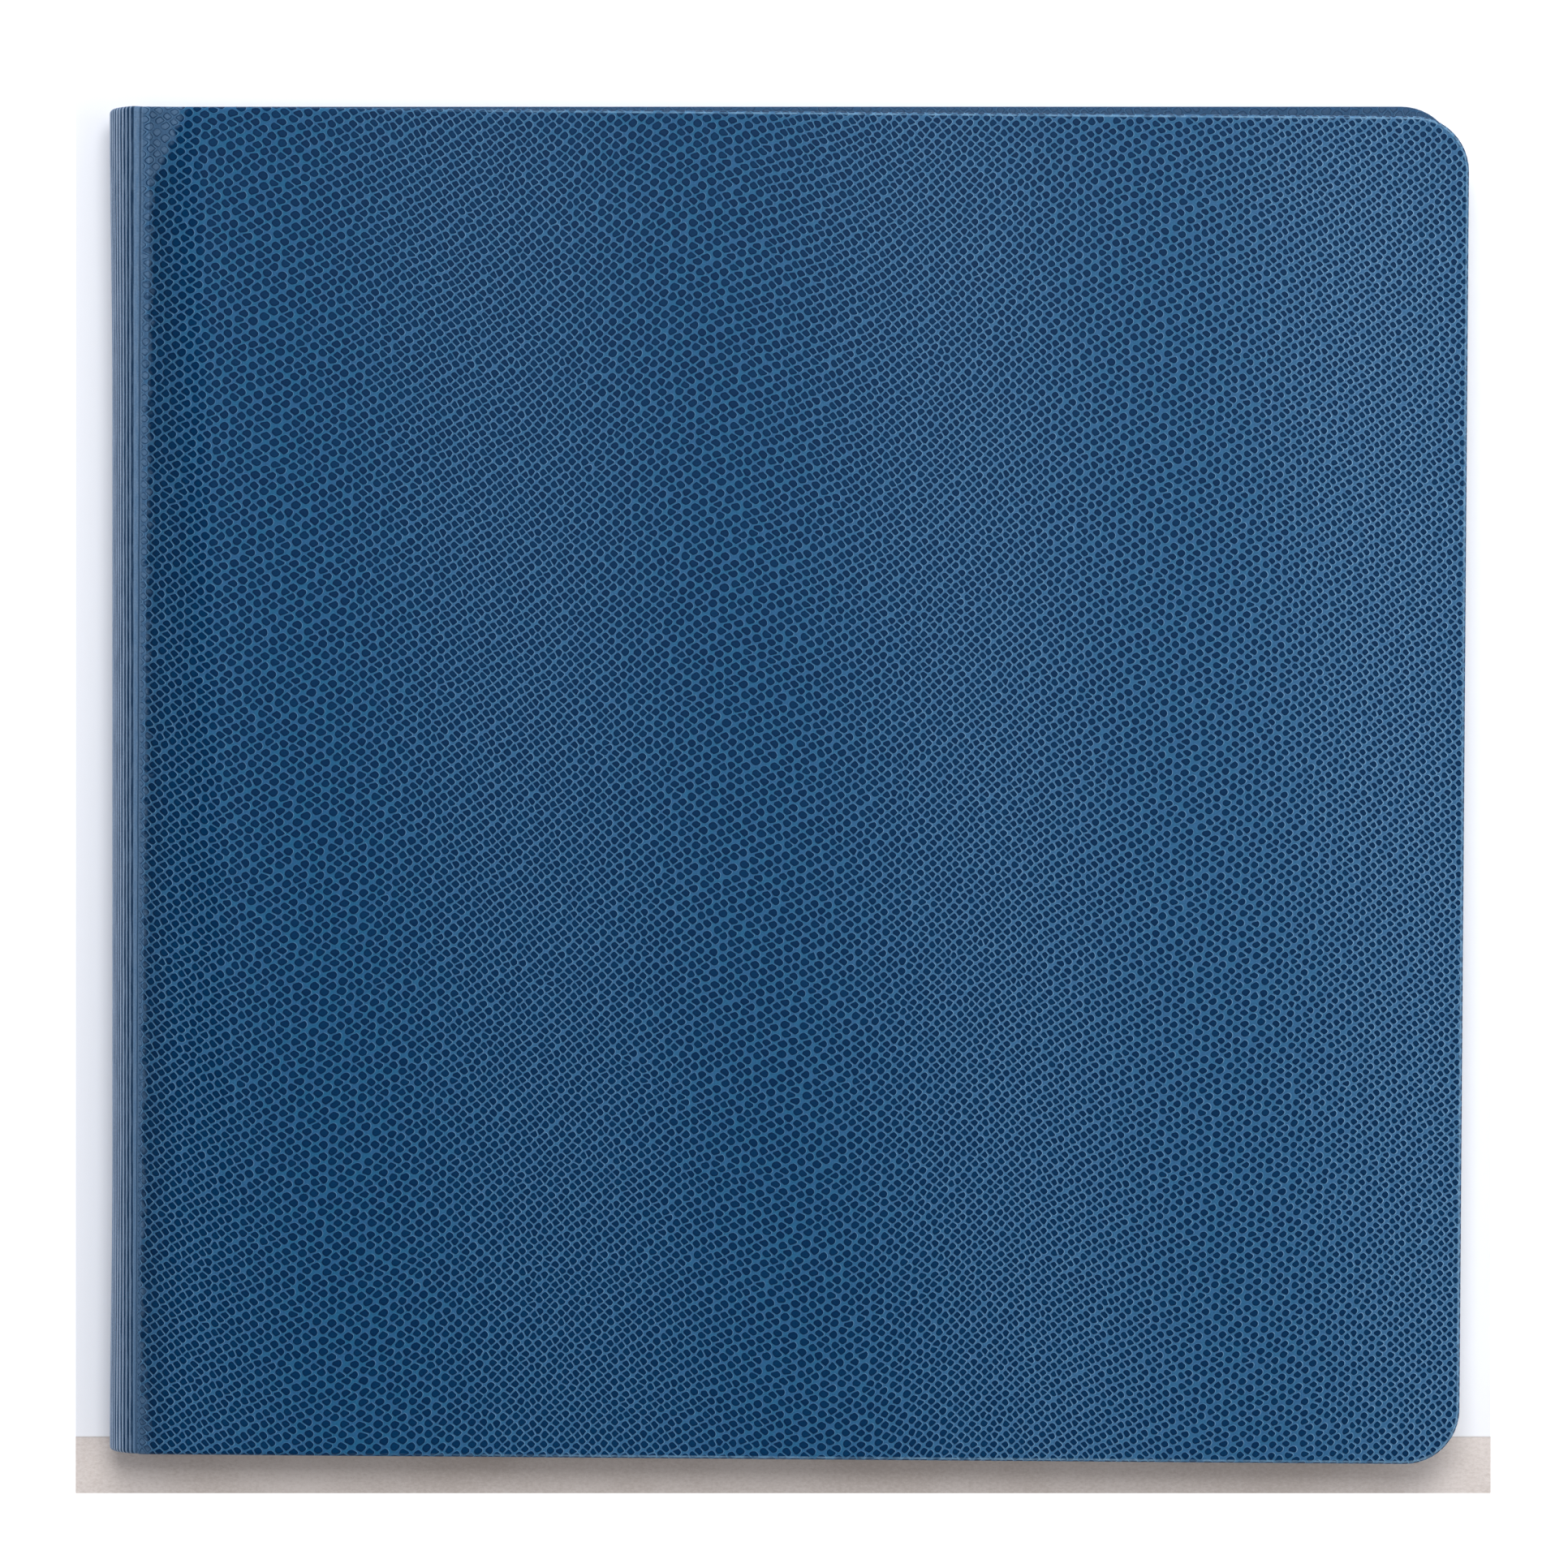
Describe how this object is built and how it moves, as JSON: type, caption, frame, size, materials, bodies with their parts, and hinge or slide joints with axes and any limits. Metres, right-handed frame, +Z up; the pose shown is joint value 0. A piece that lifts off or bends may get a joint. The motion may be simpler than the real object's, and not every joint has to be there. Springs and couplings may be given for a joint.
{
  "type": "scrapbook album",
  "caption": "Large square strap-hinged album with reptile-embossed leatherette covers, a soft ribbed spine, and stapled white leaves in clear sleeves.",
  "frame": {"origin": "centre of the back cover's underside, on the surface that the closed album lies on", "axes": "+X from the spine to the fore-edge, +Y from the tail to the head, +Z up through the closed album to the front cover"},
  "size_m": [0.3211, 0.3223, 0.02],
  "materials": {
    "leatherette": "blue leatherette embossed with small raised reptile scales, semi-gloss",
    "greyboard": "raw grey bookbinding board",
    "liner_paper": "dark blue embossed lining paper, matte",
    "page_card": "white card, matte",
    "binding_plastic": "white satin plastic strip",
    "clear_film": "clear gloss film",
    "staple_wire": "nickel-plated wire",
    "strap": "white flexible strap, satin"
  },
  "bodies": {
    "back_cover": {"back_board": "greyboard", "back_wrap": "leatherette", "back_liner": "liner_paper", "back_joint": "leatherette"},
    "spine": {"spine_core": "greyboard", "spine_wrap": "leatherette", "spine_liner": "liner_paper", "strap_head": "strap", "strap_tail": "strap"},
    "front_cover": {"front_board": "greyboard", "front_wrap": "leatherette", "front_liner": "liner_paper", "front_joint": "leatherette"},
    "leaf_1": {"leaf_1_sheet": "page_card", "leaf_1_binding": "binding_plastic", "leaf_1_sleeve": "clear_film", "leaf_1_staple_head": "staple_wire", "leaf_1_staple_tail": "staple_wire"},
    "leaf_2": {"leaf_2_sheet": "page_card", "leaf_2_binding": "binding_plastic", "leaf_2_sleeve": "clear_film", "leaf_2_staple_head": "staple_wire", "leaf_2_staple_tail": "staple_wire"},
    "leaf_3": {"leaf_3_sheet": "page_card", "leaf_3_binding": "binding_plastic", "leaf_3_sleeve": "clear_film", "leaf_3_staple_head": "staple_wire", "leaf_3_staple_tail": "staple_wire"},
    "leaf_4": {"leaf_4_sheet": "page_card", "leaf_4_binding": "binding_plastic", "leaf_4_sleeve": "clear_film", "leaf_4_staple_head": "staple_wire", "leaf_4_staple_tail": "staple_wire"},
    "leaf_5": {"leaf_5_sheet": "page_card", "leaf_5_binding": "binding_plastic", "leaf_5_sleeve": "clear_film", "leaf_5_staple_head": "staple_wire", "leaf_5_staple_tail": "staple_wire"},
    "leaf_6": {"leaf_6_sheet": "page_card", "leaf_6_binding": "binding_plastic", "leaf_6_sleeve": "clear_film", "leaf_6_staple_head": "staple_wire", "leaf_6_staple_tail": "staple_wire"},
    "leaf_7": {"leaf_7_sheet": "page_card", "leaf_7_binding": "binding_plastic", "leaf_7_sleeve": "clear_film", "leaf_7_staple_head": "staple_wire", "leaf_7_staple_tail": "staple_wire"},
    "leaf_8": {"leaf_8_sheet": "page_card", "leaf_8_binding": "binding_plastic", "leaf_8_sleeve": "clear_film", "leaf_8_staple_head": "staple_wire", "leaf_8_staple_tail": "staple_wire"}
  },
  "joints": [
    {"name": "front_cover_hinge", "type": "hinge", "parent": "spine", "child": "front_cover", "pos_m": [-0.15415, 0, 0.01975], "axis": [0, -1, 0], "range_deg": [0, 90], "deforming": ["front_joint"]},
    {"name": "spine_hinge", "type": "hinge", "parent": "back_cover", "child": "spine", "pos_m": [-0.15415, 0, 0.00025], "axis": [0, -1, 0], "range_deg": [0, 90], "deforming": ["back_joint", "strap_head", "strap_tail"]},
    {"name": "leaf_1_turn", "type": "hinge", "parent": "back_cover", "child": "leaf_1", "pos_m": [-0.15168, 0, 0.00422], "axis": [0, -1, 0], "range_deg": [0, 1.5]},
    {"name": "leaf_2_turn", "type": "hinge", "parent": "back_cover", "child": "leaf_2", "pos_m": [-0.15168, 0, 0.00588], "axis": [0, -1, 0], "range_deg": [0, 3.5]},
    {"name": "leaf_3_turn", "type": "hinge", "parent": "back_cover", "child": "leaf_3", "pos_m": [-0.15168, 0, 0.00752], "axis": [0, -1, 0], "range_deg": [0, 6.5]},
    {"name": "leaf_4_turn", "type": "hinge", "parent": "back_cover", "child": "leaf_4", "pos_m": [-0.15168, 0, 0.00918], "axis": [0, -1, 0], "range_deg": [0, 10.5]},
    {"name": "leaf_5_turn", "type": "hinge", "parent": "front_cover", "child": "leaf_5", "pos_m": [-0.15168, 0, 0.01082], "axis": [0, -1, 0], "range_deg": [-10.5, 0]},
    {"name": "leaf_6_turn", "type": "hinge", "parent": "front_cover", "child": "leaf_6", "pos_m": [-0.15168, 0, 0.01247], "axis": [0, -1, 0], "range_deg": [-6.5, 0]},
    {"name": "leaf_7_turn", "type": "hinge", "parent": "front_cover", "child": "leaf_7", "pos_m": [-0.15168, 0, 0.01413], "axis": [0, -1, 0], "range_deg": [-3.5, 0]},
    {"name": "leaf_8_turn", "type": "hinge", "parent": "front_cover", "child": "leaf_8", "pos_m": [-0.15168, 0, 0.01578], "axis": [0, -1, 0], "range_deg": [-1.5, 0]}
  ],
  "couplings": [
    {"joint": "spine_hinge", "follows": "front_cover_hinge", "ratio": 1},
    {"joint": "leaf_1_turn", "follows": "front_cover_hinge", "ratio": 0.011111},
    {"joint": "leaf_2_turn", "follows": "front_cover_hinge", "ratio": 0.033333},
    {"joint": "leaf_3_turn", "follows": "front_cover_hinge", "ratio": 0.066667},
    {"joint": "leaf_4_turn", "follows": "front_cover_hinge", "ratio": 0.11111},
    {"joint": "leaf_5_turn", "follows": "front_cover_hinge", "ratio": -0.11111},
    {"joint": "leaf_6_turn", "follows": "front_cover_hinge", "ratio": -0.066667},
    {"joint": "leaf_7_turn", "follows": "front_cover_hinge", "ratio": -0.033333},
    {"joint": "leaf_8_turn", "follows": "front_cover_hinge", "ratio": -0.011111}
  ]
}
